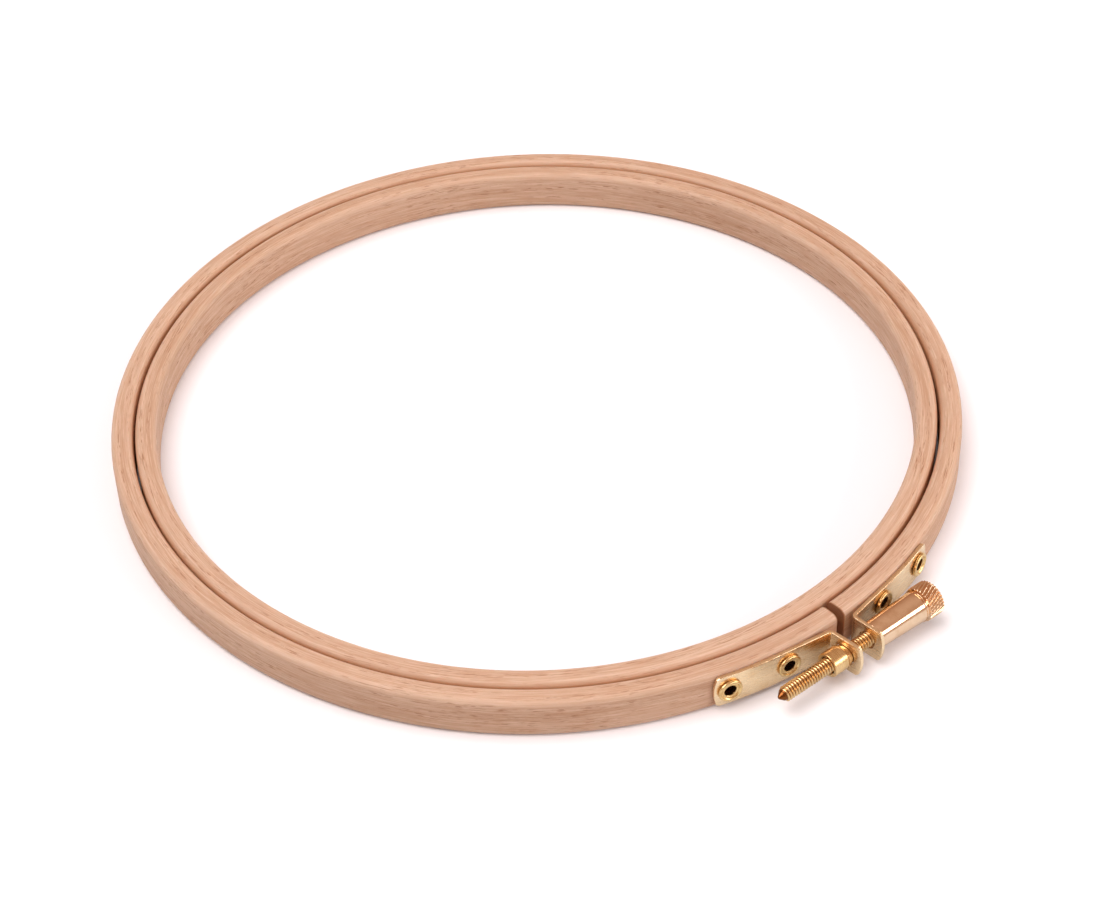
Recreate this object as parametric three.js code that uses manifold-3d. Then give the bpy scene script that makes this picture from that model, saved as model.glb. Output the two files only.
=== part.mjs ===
// A wooden embroidery hoop: a closed inner hoop inside a split outer hoop, whose two ends
// are drawn together by a brass thumbscrew. Millimetres, +Z up, lying flat with its
// underside at z = 0 and the split at -Y. The origin is under the middle of its box.

import * as THREE from "three";
import { mergeVertices } from "three/addons/utils/BufferGeometryUtils.js";
import Module from "manifold-3d";

const wasm = await Module();
wasm.setup();

// Wooden hoops.
const inner_hoop_diameter = 150; // outside of the inner hoop, the hoop's trade size
const inner_hoop_wall = 4.0;
const outer_hoop_wall = 4.0;
const hoop_height = 8.0;
const hoop_clearance = 0.5; // all round, between the two hoops with the screw as it rests
const inner_hoop_slip = 0.15; // how far the loose inner hoop lies from the middle
const inner_hoop_slip_side = -67; // degrees round from the split, to the left
const edge_radius = 1.2; // rounding along each of a hoop's four edges
const split_width = 1.5; // between the ends of the outer hoop
const bend_cut = 0.3; // at the back, where the outer hoop's spring is stood in for by a hinge

// Brass strip brackets, one on each end of the outer hoop, with a lug bent outwards.
const strip_thickness = 0.7;
const strip_height = 6.5;
const strip_above_middle = 0.25; // of the hoop's height
const strip_bend_radius = 0.85; // of the middle of the sheet
const near_eyelet_from_lug = 8.7;
const eyelet_spacing = 11.6;
const straight_past_eyelet = 2.0; // where the straight strip meets the round of the wood
const strip_end_margin = 2.9; // from the far eyelet to the strip's free end
const lug_length = 7.6; // from the middle of the strip to the lug's rounded edge
const end_bow = 0.7; // how far the middle of a strip's end stands out from its corners
const lug_setback = { left: 2.95, right: 0.95 }; // from the wood's end to the lug
const lug_lean = { left: -6, right: 4 }; // degrees, away from the split

// Hollow eyelets that fasten the brackets.
const eyelet_bore = 2.2;
const eyelet_wall = 0.4;
const eyelet_flange_diameter = 4.5;
const eyelet_flange_height = 0.6;
const eyelet_flare_depth = 0.5; // at the inside of the wood, in a countersink
const eyelet_flare = 0.4; // how far the flare spreads past the barrel
const eyelet_clearance = 0.12;

// Thumbscrew.
const screw_from_strip = 4.1; // screw's axis, out from the middle of the strip
const screw_tilt = -1.2; // degrees, seen from above, off square to the split
const thread_diameter = 2.8;
const thread_clearance = 0.2; // radial, in the nut
const screw_reach = 19.1; // from the middle of the split to the screw's tip
const tip_length = 1.3;
const tip_diameter = 1.0;
const lug_bore_clearance = 0.3; // radial, in the loose hole of the right lug
const nut_length = 3.6;
const nut_chamfer = 0.35;
const nut_collar_wall = 0.3; // of the collar that is held in the left lug
const nut_shoulder = 0.35; // how far the nut's body stands out past its collar
const nut_collar_clearance = 0.15;
const head_start_diameter = 5.1;
const head_body_diameter = 5.9;
const head_body_length = 10.9;
const head_bevel = 0.45;
const head_neck_diameter = 5.3;
const head_neck_length = 0.65;
const knurl_diameter = 6.5;
const knurl_length = 3.0;
const knurl_depth = 0.3;
const knurl_flutes = 30;
const knurl_helix = -22; // degrees from the screw's axis; negative is left-handed
const head_dome = 1.0;
const stud_in_head = 6.0; // how deep the threaded stud is set in the head
const stud_clearance = 0.15;

const seat_gap = 0.15; // between faces that rest on each other
const overcut = 1; // how far a cutting tool runs past what it cuts
const bore_reach = 3; // to each side of a lug

// Worked out from the sizes above.
const inner_hoop_radius = inner_hoop_diameter / 2;
const outer_hoop_bore_radius = inner_hoop_radius + hoop_clearance;
const outer_hoop_radius = outer_hoop_bore_radius + outer_hoop_wall;
const strip_radius = outer_hoop_radius + seat_gap + strip_thickness / 2;
const lug_edge_radius = strip_radius + lug_length;
const strip_bottom = (hoop_height - strip_height) / 2 + strip_above_middle;
const screw_radius = strip_radius + screw_from_strip;
const screw_height = strip_bottom + strip_height / 2;
const nut_bore_radius = thread_diameter / 2 + thread_clearance;
const nut_collar_radius = nut_bore_radius + nut_collar_wall;
const nut_radius = nut_collar_radius + nut_shoulder;
const eyelet_barrel_radius = eyelet_bore / 2 + eyelet_wall;
const eyelet_start = outer_hoop_bore_radius + eyelet_clearance;
const eyelet_seat = strip_radius + strip_thickness / 2 + seat_gap;
const degree = Math.PI / 180;

const hoop_steps = 72;
const round_steps = 24;
const eyelet_steps = 16;

const paint = {
  beech: new THREE.MeshStandardMaterial({ color: 0xdcb08c, roughness: 0.62, metalness: 0 }),
  strip: new THREE.MeshStandardMaterial({ color: 0xe6cf9c, roughness: 0.3, metalness: 1 }),
  eyelet: new THREE.MeshStandardMaterial({ color: 0xd9ae5c, roughness: 0.25, metalness: 1 }),
  screw: new THREE.MeshStandardMaterial({ color: 0xdcae62, roughness: 0.28, metalness: 1 }),
  head: new THREE.MeshStandardMaterial({ color: 0xd99a72, roughness: 0.15, metalness: 1 }),
};

const assembly = new THREE.Group();

function addPiece(name, geometry, material) {
  const piece = new THREE.Mesh(geometry, material);
  piece.name = name;
  assembly.add(piece);
}

function toSolid(geometry) {
  const bare = geometry.clone();
  bare.deleteAttribute("normal");
  bare.deleteAttribute("uv");
  const merged = mergeVertices(bare, 1e-4);
  return new wasm.Manifold(
    new wasm.Mesh({
      numProp: 3,
      vertProperties: new Float32Array(merged.attributes.position.array),
      triVerts: new Uint32Array(merged.index.array),
    }),
  );
}

function toGeometry(solid) {
  const mesh = solid.getMesh();
  const geometry = new THREE.BufferGeometry();
  geometry.setAttribute("position", new THREE.BufferAttribute(mesh.vertProperties, 3));
  geometry.setIndex(new THREE.BufferAttribute(mesh.triVerts, 1));
  return geometry;
}

// A turned solid: the profile is pairs of radius and distance along the axis. The axis is
// +Z, +X, or the hoop's radius through a point that many radians round from the split.
function turned(profile, steps) {
  return new THREE.LatheGeometry(profile.map(([r, along]) => new THREE.Vector2(r, along)), steps);
}

const alongZ = (geometry) => geometry.rotateX(Math.PI / 2);
const alongX = (geometry) => geometry.rotateZ(-Math.PI / 2);
const alongRadius = (geometry, angle) => geometry.rotateZ(Math.PI + angle);
const onScrewAxis = (geometry) =>
  alongX(geometry).rotateZ(screw_tilt * degree).translate(0, -screw_radius, screw_height);
const atEyelet = (geometry, { angle, slide }) =>
  alongRadius(geometry.translate(-slide, 0, 0), angle).translate(0, 0, screw_height);

function drill(radius, from, to, steps = round_steps) {
  return turned([[0, from], [radius, from], [radius, to], [0, to]], steps);
}

function block(from, to) {
  const size = to.map((value, axis) => value - from[axis]);
  return new THREE.BoxGeometry(...size).translate(
    ...from.map((value, axis) => value + size[axis] / 2),
  );
}

// Wooden hoops: a bar with rounded edges bent into a ring.
function hoopRing(bore_radius, wall) {
  const corners = [
    [bore_radius + wall - edge_radius, edge_radius, -90],
    [bore_radius + wall - edge_radius, hoop_height - edge_radius, 0],
    [bore_radius + edge_radius, hoop_height - edge_radius, 90],
    [bore_radius + edge_radius, edge_radius, 180],
  ];
  const profile = corners.flatMap(([r, z, start]) =>
    [0, 45, 90].map((turn) => [
      r + edge_radius * Math.cos((start + turn) * degree),
      z + edge_radius * Math.sin((start + turn) * degree),
    ]),
  );
  return alongZ(turned([...profile, profile[0]], hoop_steps));
}

const slip_angle = (inner_hoop_slip_side - 90) * degree;
const inner_ring = hoopRing(inner_hoop_radius - inner_hoop_wall, inner_hoop_wall).translate(
  inner_hoop_slip * Math.cos(slip_angle),
  inner_hoop_slip * Math.sin(slip_angle),
  0,
);
addPiece("inner_hoop", inner_ring, paint.beech);

// Where each bracket's lug and eyelets are. Side is -1 on the left and 1 on the right, and an
// angle is measured round the hoop from the split. The strip is straight from its bend to
// just past its near eyelet, where it meets the wood, and follows the wood from there.
function bracketLayout(hand) {
  const side = hand === "left" ? -1 : 1;
  const straight = near_eyelet_from_lug + straight_past_eyelet;
  const round_to_far = (eyelet_spacing - straight_past_eyelet) / strip_radius;
  const corner_x = split_width / 2 + lug_setback[hand];
  const meets = Math.asin(corner_x / Math.hypot(strip_radius, straight)) +
    Math.atan2(straight, strip_radius);
  const corner_depth = strip_radius * Math.cos(meets) + straight * Math.sin(meets);
  return {
    side,
    meets,
    corner: new THREE.Vector2(corner_x, -corner_depth),
    free_end: meets + round_to_far + strip_end_margin / strip_radius,
    lean: lug_lean[hand] * degree,
    eyelets: {
      near: { angle: side * meets, slide: -side * straight_past_eyelet },
      far: { angle: side * (meets + round_to_far), slide: 0 },
    },
  };
}

// The middle line of a bracket's sheet in plan: round the wood from the free end, straight on
// to the bend, round the bend and out along the lug. Each entry is a point and the direction
// of travel there, drawn for the right side.
function bracketLine({ meets, corner, free_end, lean }) {
  const line = [];
  const arc_steps = 6;
  for (let step = 0; step <= arc_steps; step += 1) {
    const angle = free_end + ((meets - free_end) * step) / arc_steps;
    line.push({
      at: new THREE.Vector2(Math.sin(angle), -Math.cos(angle)).multiplyScalar(strip_radius),
      heading: angle + Math.PI,
    });
  }
  const strip_heading = meets + Math.PI;
  const lug_heading = lean + 1.5 * Math.PI;
  const turn = lug_heading - strip_heading;
  const ahead = (heading, length) =>
    new THREE.Vector2(Math.cos(heading), Math.sin(heading)).multiplyScalar(length);
  const setback = strip_bend_radius * Math.tan(turn / 2);
  const bend_centre = corner
    .clone()
    .add(ahead(strip_heading, -setback))
    .add(ahead(strip_heading + Math.PI / 2, strip_bend_radius));
  const bend_steps = 5;
  for (let step = 0; step <= bend_steps; step += 1) {
    const heading = strip_heading + (turn * step) / bend_steps;
    line.push({
      at: bend_centre.clone().add(ahead(heading - Math.PI / 2, strip_bend_radius)),
      heading,
    });
  }
  const lug_run = (lug_edge_radius + corner.y) / Math.cos(lean);
  line.push({ at: corner.clone().add(ahead(lug_heading, lug_run)), heading: lug_heading });
  return line;
}

// Where a lug crosses the screw's axis, measured along the axis from the middle of the split:
// the middle of the sheet, its face away from the split, and how much room a flat face of a
// given radius on the axis needs because the lug isn't square to the screw.
function lugPlace({ side, corner, lean }) {
  const off_square = lean - side * screw_tilt * degree;
  const middle = (corner.x * Math.cos(lean) + (corner.y + screw_radius) * Math.sin(lean)) /
    Math.cos(off_square);
  return {
    middle,
    face: middle + strip_thickness / 2 / Math.cos(off_square),
    room: (radius) => seat_gap + radius * Math.tan(Math.abs(off_square)),
  };
}

// What is cut off to bow a strip's end: a block at the end, less a cylinder across the sheet.
function bowTool(across, length) {
  const bow_radius = ((strip_height / 2) ** 2 + end_bow ** 2) / (2 * end_bow);
  const from = -across / 2;
  const post = drill(bow_radius, from - overcut, across / 2 + overcut, 48)
    .rotateZ(-Math.PI / 2)
    .translate(0, bow_radius, 0);
  const slab = block(
    [from, -length, -strip_height],
    [across / 2, end_bow + overcut / 2, strip_height],
  );
  return toSolid(slab).subtract(toSolid(post));
}

function moved(solid, angle, x, y, z) {
  return solid.rotate([0, 0, angle / degree]).translate([x, y, z]);
}

function bracket(hand) {
  const layout = bracketLayout(hand);
  const { side, eyelets, free_end, lean } = layout;
  const line = bracketLine(layout);
  const edge = (offset) =>
    line.map(({ at, heading }) => new THREE.Vector2(
      side * (at.x - Math.sin(heading) * offset),
      at.y + Math.cos(heading) * offset,
    ));
  const outline = [...edge(strip_thickness / 2), ...edge(-strip_thickness / 2).reverse()];
  const sheet = new THREE.ExtrudeGeometry(new THREE.Shape(outline), {
    depth: strip_height,
    bevelEnabled: false,
  }).translate(0, 0, strip_bottom);
  let solid = toSolid(sheet);
  for (const place of Object.values(eyelets)) {
    const hole = drill(
      eyelet_barrel_radius + eyelet_clearance,
      outer_hoop_radius - overcut,
      eyelet_seat + overcut,
      eyelet_steps,
    );
    solid = solid.subtract(toSolid(atEyelet(hole, place)));
  }
  const bore_radius = hand === "left"
    ? nut_collar_radius + nut_collar_clearance
    : thread_diameter / 2 + lug_bore_clearance;
  const lug_at = side * lugPlace(layout).middle;
  const bore = drill(bore_radius, lug_at - bore_reach, lug_at + bore_reach);
  solid = solid.subtract(toSolid(onScrewAxis(bore)));

  const lug_tip = line[line.length - 1].at;
  const free_tip = line[0].at;
  const tool = bowTool(4 * strip_thickness, overcut);
  solid = solid.subtract(
    moved(tool, side * lean, side * lug_tip.x, lug_tip.y, screw_height),
  );
  return solid.subtract(
    moved(tool, side * (free_end + Math.PI / 2), side * free_tip.x, free_tip.y, screw_height),
  );
}

for (const hand of ["left", "right"]) {
  addPiece(`${hand}_bracket`, toGeometry(bracket(hand)), paint.strip);
}

// The outer hoop: one bent strip of wood, split at the front. It is in two halves here, which
// meet at the back where it bends.
function eyeletHole(place) {
  const barrel = eyelet_barrel_radius + eyelet_clearance;
  const flare = barrel + eyelet_flare;
  const profile = [
    [0, outer_hoop_bore_radius - overcut],
    [flare, outer_hoop_bore_radius - overcut],
    [flare, eyelet_start],
    [barrel, eyelet_start + eyelet_flare_depth],
    [barrel, outer_hoop_radius + overcut],
    [0, outer_hoop_radius + overcut],
  ];
  return toSolid(atEyelet(turned(profile, eyelet_steps), place));
}

const outer_ring = toSolid(hoopRing(outer_hoop_bore_radius, outer_hoop_wall));
for (const hand of ["left", "right"]) {
  const { side, eyelets } = bracketLayout(hand);
  const reach = outer_hoop_radius + overcut;
  const x_range = [side * split_width / 2, side * reach].sort((a, b) => a - b);
  const x_back = [side * bend_cut / 2, side * reach].sort((a, b) => a - b);
  const front = block([x_range[0], -reach, -overcut], [x_range[1], 0, hoop_height + overcut]);
  const back = block([x_back[0], -overcut, -overcut], [x_back[1], reach, hoop_height + overcut]);
  const keep = toSolid(front).add(toSolid(back));
  const half = outer_ring
    .intersect(keep)
    .subtract(eyeletHole(eyelets.near))
    .subtract(eyeletHole(eyelets.far));
  addPiece(`outer_hoop_${hand}`, toGeometry(half), paint.beech);
}

// Eyelets: a rolled flange outside the strip, and a barrel through strip and wood that is
// flared into a countersink inside.
function eyelet(place) {
  const bore = eyelet_bore / 2;
  const barrel = eyelet_barrel_radius;
  const flange = eyelet_flange_diameter / 2;
  const profile = [
    [bore + eyelet_flare, eyelet_start],
    [barrel + eyelet_flare, eyelet_start],
    [barrel, eyelet_start + eyelet_flare_depth],
    [barrel, eyelet_seat],
    [flange, eyelet_seat],
    [flange, eyelet_seat + eyelet_flange_height * 0.4],
    [flange - eyelet_wall, eyelet_seat + eyelet_flange_height],
    [barrel, eyelet_seat + eyelet_flange_height],
    [bore, eyelet_seat + eyelet_flange_height * 0.4],
    [bore, eyelet_start + eyelet_flare_depth],
  ];
  return atEyelet(turned([...profile, profile[0]], eyelet_steps), place);
}

for (const hand of ["left", "right"]) {
  for (const [which, place] of Object.entries(bracketLayout(hand).eyelets)) {
    addPiece(`${hand}_eyelet_${which}`, eyelet(place), paint.eyelet);
  }
}

// Barrel nut: turned, tapped, and held in the left lug by its collar.
const left_lug = lugPlace(bracketLayout("left"));
const nut_end = -left_lug.face - left_lug.room(nut_radius);
const collar_end = -left_lug.middle + strip_thickness;
const nut_profile = [
  [nut_bore_radius + nut_chamfer, nut_end - nut_length],
  [nut_radius - nut_chamfer, nut_end - nut_length],
  [nut_radius, nut_end - nut_length + nut_chamfer],
  [nut_radius, nut_end],
  [nut_collar_radius, nut_end],
  [nut_collar_radius, collar_end],
  [nut_bore_radius, collar_end],
  [nut_bore_radius, nut_end - nut_length + nut_chamfer],
];
addPiece("barrel_nut", onScrewAxis(turned([...nut_profile, nut_profile[0]], round_steps)),
  paint.screw);

// Threaded stud, plain here at the size over its thread, from its tip into the head.
const right_lug = lugPlace(bracketLayout("right"));
const head_start = right_lug.face + right_lug.room(head_start_diameter / 2);
const stud_profile = [
  [0, -screw_reach],
  [tip_diameter / 2, -screw_reach],
  [thread_diameter / 2, -screw_reach + tip_length],
  [thread_diameter / 2, head_start + stud_in_head],
  [0, head_start + stud_in_head],
];
addPiece("screw_stud", onScrewAxis(turned(stud_profile, round_steps)), paint.screw);

// Thumb head: a tapered body, a neck, and a knurled band with a domed end.
const socket_radius = thread_diameter / 2 + stud_clearance;
const body_end = head_start + head_body_length;
const knurl_start = body_end + head_neck_length;
const knurl_end = knurl_start + knurl_length;
const knurl_radius = knurl_diameter / 2;
const knurl_rows = 5;
const head_profile = [
  [0, head_start + stud_in_head + stud_clearance],
  [socket_radius, head_start + stud_in_head + stud_clearance],
  [socket_radius, head_start],
  [head_start_diameter / 2 - head_bevel, head_start],
  [head_start_diameter / 2, head_start + head_bevel],
  [head_body_diameter / 2, body_end],
  [head_neck_diameter / 2, body_end + head_neck_length * 0.3],
  [head_neck_diameter / 2, knurl_start - head_neck_length * 0.3],
];
for (let row = 0; row < knurl_rows; row += 1) {
  const share = row / (knurl_rows - 1);
  head_profile.push([knurl_radius, knurl_start + knurl_length * share]);
}
head_profile.push(
  [knurl_radius * 0.86, knurl_end + head_dome * 0.55],
  [knurl_radius * 0.5, knurl_end + head_dome * 0.92],
  [0, knurl_end + head_dome],
);

// The flutes: every other line of points along the band is sunk, and the lines run round the
// band as they go along it.
function cutFlutes(geometry) {
  const point = new THREE.Vector3();
  const position = geometry.attributes.position;
  const per_line = head_profile.length;
  const twist = Math.tan(knurl_helix * degree) / knurl_radius;
  for (let index = 0; index < position.count; index += 1) {
    point.fromBufferAttribute(position, index);
    const along = THREE.MathUtils.clamp(point.y, knurl_start, knurl_end);
    const turn = twist * (along - knurl_start);
    const in_band = point.y > knurl_start - seat_gap && point.y < knurl_end + seat_gap;
    const sunk = in_band && Math.floor(index / per_line) % 2 === 1;
    const scale = sunk ? 1 - knurl_depth / knurl_radius : 1;
    const { x, z } = point;
    position.setXYZ(
      index,
      scale * (x * Math.cos(turn) - z * Math.sin(turn)),
      point.y,
      scale * (x * Math.sin(turn) + z * Math.cos(turn)),
    );
  }
  return geometry;
}

addPiece("screw_head", onScrewAxis(cutFlutes(turned(head_profile, 2 * knurl_flutes))),
  paint.head);

// The hoops are drawn round the origin. The screw stands out at the front, so the assembly is
// moved back until its box is centred.
const box = new THREE.Box3().setFromObject(assembly);
assembly.position.y = -(box.min.y + box.max.y) / 2;

export default assembly;
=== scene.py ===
import math

import bmesh
import bpy
from mathutils import Matrix, Vector


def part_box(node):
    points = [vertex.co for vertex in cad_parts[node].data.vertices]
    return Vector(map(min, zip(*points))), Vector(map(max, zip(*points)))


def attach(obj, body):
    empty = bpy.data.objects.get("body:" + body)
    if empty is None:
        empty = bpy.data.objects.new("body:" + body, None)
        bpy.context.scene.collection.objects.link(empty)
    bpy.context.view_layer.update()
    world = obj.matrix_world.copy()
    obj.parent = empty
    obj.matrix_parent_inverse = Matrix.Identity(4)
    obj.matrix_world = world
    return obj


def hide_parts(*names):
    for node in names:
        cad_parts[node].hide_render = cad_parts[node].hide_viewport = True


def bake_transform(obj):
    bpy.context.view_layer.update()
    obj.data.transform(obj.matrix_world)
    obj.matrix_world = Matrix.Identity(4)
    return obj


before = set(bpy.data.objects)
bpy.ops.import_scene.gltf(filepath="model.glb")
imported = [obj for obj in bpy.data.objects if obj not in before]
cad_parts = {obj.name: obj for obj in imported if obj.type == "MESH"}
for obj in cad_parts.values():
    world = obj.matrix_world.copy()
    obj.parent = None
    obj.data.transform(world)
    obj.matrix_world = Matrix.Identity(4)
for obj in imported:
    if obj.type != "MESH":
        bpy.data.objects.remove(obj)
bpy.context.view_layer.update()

mm = 0.001


# Camera: a long lens looking down at the hoop as it lies on a table, from the left of its
# thumbscrew. It is aimed a little in front and to the left of the hoop's middle.
aim = Vector((-2.9, -3.3, 0.0)) * mm
eye_distance = 485.9 * mm
eye_turn = math.radians(39.9)  # round to the left of straight in front of the screw
eye_height = math.radians(41.26)
eye_roll = math.radians(-1.87)

towards_eye = Vector((
    -math.sin(eye_turn) * math.cos(eye_height),
    -math.cos(eye_turn) * math.cos(eye_height),
    math.sin(eye_height),
))
eye_right = Vector((math.cos(eye_turn), -math.sin(eye_turn), 0.0))
eye_right.rotate(Matrix.Rotation(eye_roll, 3, towards_eye))
eye_up = towards_eye.cross(eye_right)
eye = bpy.data.objects.new("eye", bpy.data.cameras.new("eye"))
eye.data.lens = 84.54
eye.data.sensor_width = 36.0
eye.data.sensor_fit = "HORIZONTAL"
eye.data.clip_start = 0.01
eye.data.dof.use_dof = False
turn = Matrix((eye_right, eye_up, towards_eye)).transposed()
eye.matrix_world = Matrix.Translation(aim + towards_eye * eye_distance) @ turn.to_4x4()
bpy.context.scene.collection.objects.link(eye)
bpy.context.scene.camera = eye
bpy.context.scene.view_settings.view_transform = "Standard"


# Stage: a plain white table that fades to pure white away from the hoop, in a white room that
# is brighter overhead, with a large softbox above and two more that mostly light the brass.
# Brass sees the room as tan and brown, so that polished brass has something to reflect.
def add_node(tree, kind, inputs=(), **settings):
    """A node with its settings made, and its inputs set to values or linked from sockets."""
    node = tree.nodes.new(kind)
    for name, value in settings.items():
        setattr(node, name, value)
    for name, value in dict(inputs).items():
        if isinstance(value, bpy.types.NodeSocket):
            tree.links.new(value, node.inputs[name])
        else:
            node.inputs[name].default_value = value
    return node


def maths(tree, operation, *values):
    return add_node(tree, "ShaderNodeMath", dict(enumerate(values)), operation=operation).outputs[0]


def new_material(name):
    material = bpy.data.materials.new(name)
    material.use_nodes = True
    material.node_tree.nodes.clear()
    return material


def set_ramp(ramp, first, middle, last):
    """Gives a new colour ramp three stops, each a position and a colour."""
    for stop, (position, colour) in zip(ramp.elements, (first, last)):
        stop.position, stop.color = position, (*colour, 1.0)
    ramp.elements.new(middle[0]).color = (*middle[1], 1.0)


def link_object(name, data):
    made = bpy.data.objects.new(name, data)
    bpy.context.scene.collection.objects.link(made)
    return made


table_half = 3.0
table_white_from, table_white_at = 0.15, 0.6  # distances from the hoop's middle
table_mesh = bpy.data.meshes.new("table")
corners = ((-1, -1), (1, -1), (1, 1), (-1, 1))
table_mesh.from_pydata([(x * table_half, y * table_half, 0.0) for x, y in corners], [], [range(4)])
white_table = new_material("white_table")
tree = white_table.node_tree
bounced = add_node(tree, "ShaderNodeBsdfDiffuse", {"Color": (0.78, 0.77, 0.77, 1.0)})
seen = add_node(tree, "ShaderNodeBsdfDiffuse", {"Color": (1.00, 0.945, 0.965, 1.0)})
direct = add_node(tree, "ShaderNodeLightPath").outputs["Is Camera Ray"]
spot = add_node(tree, "ShaderNodeTexCoord").outputs["Object"]
from_hoop = add_node(tree, "ShaderNodeVectorMath", {0: spot}, operation="LENGTH").outputs["Value"]
far_off = add_node(tree, "ShaderNodeMapRange", {
    "Value": from_hoop, "From Min": table_white_from, "From Max": table_white_at,
})
glow = add_node(tree, "ShaderNodeEmission", {"Color": (1.0, 1.0, 1.0, 1.0), "Strength": 1.05})
swept = add_node(
    tree, "ShaderNodeMixShader", {0: far_off.outputs[0], 1: seen.outputs[0], 2: glow.outputs[0]},
)
paint = add_node(
    tree, "ShaderNodeMixShader", {0: direct, 1: bounced.outputs[0], 2: swept.outputs[0]},
)
add_node(tree, "ShaderNodeOutputMaterial", {"Surface": paint.outputs[0]})
table_mesh.materials.append(white_table)
link_object("table", table_mesh)

room = bpy.data.worlds.new("room")
room.use_nodes = True
bpy.context.scene.world = room
tree = room.node_tree
tree.nodes.clear()
outlook = add_node(tree, "ShaderNodeTexCoord").outputs["Generated"]
upward = add_node(tree, "ShaderNodeSeparateXYZ", {0: outlook})
overhead = add_node(tree, "ShaderNodeValToRGB", {"Fac": upward.outputs["Z"]})
set_ramp(
    overhead.color_ramp,
    (0.0, (0.90, 0.82, 0.76)), (0.25, (0.42, 0.22, 0.13)), (0.95, (0.67, 0.48, 0.37)),
)
glossy = add_node(tree, "ShaderNodeLightPath").outputs["Is Glossy Ray"]
rise = add_node(tree, "ShaderNodeMapRange", {
    "Value": upward.outputs["Z"], "From Min": 0.0, "From Max": 0.9, "To Min": 0.20, "To Max": 0.68,
})
even = add_node(tree, "ShaderNodeBackground", {
    "Color": (1.0, 0.985, 0.98, 1.0), "Strength": rise.outputs[0],
})
mirrored = add_node(tree, "ShaderNodeBackground", {"Color": overhead.outputs["Color"], "Strength": 1.0})
both = add_node(tree, "ShaderNodeMixShader", {0: glossy, 1: even.outputs[0], 2: mirrored.outputs[0]})
add_node(tree, "ShaderNodeOutputWorld", {"Surface": both.outputs[0]})


def add_softbox(name, towards, distance, width, height, power, colour):
    lamp = link_object(name, bpy.data.lights.new(name, "AREA"))
    lamp.data.shape = "RECTANGLE"
    lamp.data.size, lamp.data.size_y = width, height
    lamp.data.energy = power
    lamp.data.color = colour
    away = Vector(towards).normalized()
    facing = away.to_track_quat("Z", "Y").to_matrix().to_4x4()
    lamp.matrix_world = Matrix.Translation(away * distance) @ facing
    return lamp


add_softbox("front_softbox", (0.48, -0.79, 0.42), 1.0, 1.1, 0.28, 5.0, (1.0, 0.98, 0.96))
side = add_softbox("left_softbox", (-0.72, 0.30, 0.75), 1.3, 1.0, 0.8, 14.0, (1.0, 0.985, 0.975))
side.visible_diffuse = False
top = add_softbox("top_softbox", (-0.30, 0.18, 0.94), 1.5, 1.4, 1.1, 15.5, (1.0, 0.985, 0.975))
top.visible_glossy = False


# Inner hoop: a thin bar of beech, steamed and bent into a closed ring, its ends glued in a
# long scarf. It is sanded round along all four edges and lies loose in the outer hoop.
hoop_height = 8.0 * mm
hoop_wall = 4.0 * mm
hoop_edge = 1.2 * mm
hoop_steps = 360
scarf_slope = 6.0  # the glue line runs this far along for each unit across the wall
scarf_place = 0.545  # round the ring, as a share, from the back by way of the left
hoop_meeting = 75.25 * mm  # radius where the two hoops meet, about which painted shade and painted bounce light are laid in the groove


def new_tree(name, sizes, takes_shape=False):
    """A geometry tree with a named input for each size, and its input and output nodes."""
    tree = bpy.data.node_groups.new(name, "GeometryNodeTree")
    if takes_shape:
        tree.interface.new_socket("Geometry", in_out="INPUT", socket_type="NodeSocketGeometry")
    for size, kind in sizes.items():
        tree.interface.new_socket(size, in_out="INPUT", socket_type="NodeSocket" + kind)
    tree.interface.new_socket("Geometry", in_out="OUTPUT", socket_type="NodeSocketGeometry")
    return tree, tree.nodes.new("NodeGroupInput").outputs, tree.nodes.new("NodeGroupOutput")


def end_tree(tree, shape, material, end):
    """The tree's last nodes: one real mesh, in its material."""
    real = add_node(tree, "GeometryNodeRealizeInstances", {0: shape})
    faced = add_node(
        tree, "GeometryNodeSetMaterial", {"Geometry": real.outputs[0], "Material": material},
    )
    tree.links.new(faced.outputs[0], end.inputs[0])


def run_tree(name, tree, values, shape=None):
    """A plain mesh object of what the tree makes, from a starting mesh if it takes one."""
    maker = link_object(name + "_maker", shape or bpy.data.meshes.new(name))
    modifier = maker.modifiers.new(name, "NODES")
    modifier.node_group = tree
    for item in tree.interface.items_tree:
        if item.in_out == "INPUT" and item.name in values:
            modifier[item.identifier] = values[item.name]
    return plain(maker, name)


def plain(maker, name):
    """What an object's modifiers make of it, as a new object at the origin with none."""
    bpy.context.view_layer.update()
    made = maker.evaluated_get(bpy.context.evaluated_depsgraph_get())
    mesh = bpy.data.meshes.new_from_object(made)
    mesh.name = name
    bpy.data.objects.remove(maker)
    return link_object(name, mesh)


def face_out(mesh, smooth_below):
    """Merges doubles, points every face outwards, and shades smooth below an angle."""
    shell = bmesh.new()
    shell.from_mesh(mesh)
    bmesh.ops.remove_doubles(shell, verts=shell.verts, dist=0.002 * mm)
    bmesh.ops.dissolve_degenerate(shell, edges=shell.edges, dist=0.001 * mm)
    bmesh.ops.recalc_face_normals(shell, faces=shell.faces)
    if shell.calc_volume(signed=True) < 0:
        bmesh.ops.reverse_faces(shell, faces=shell.faces)
    shell.to_mesh(mesh)
    shell.free()
    mesh.shade_smooth()
    mesh.set_sharp_from_angle(angle=math.radians(smooth_below))


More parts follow.
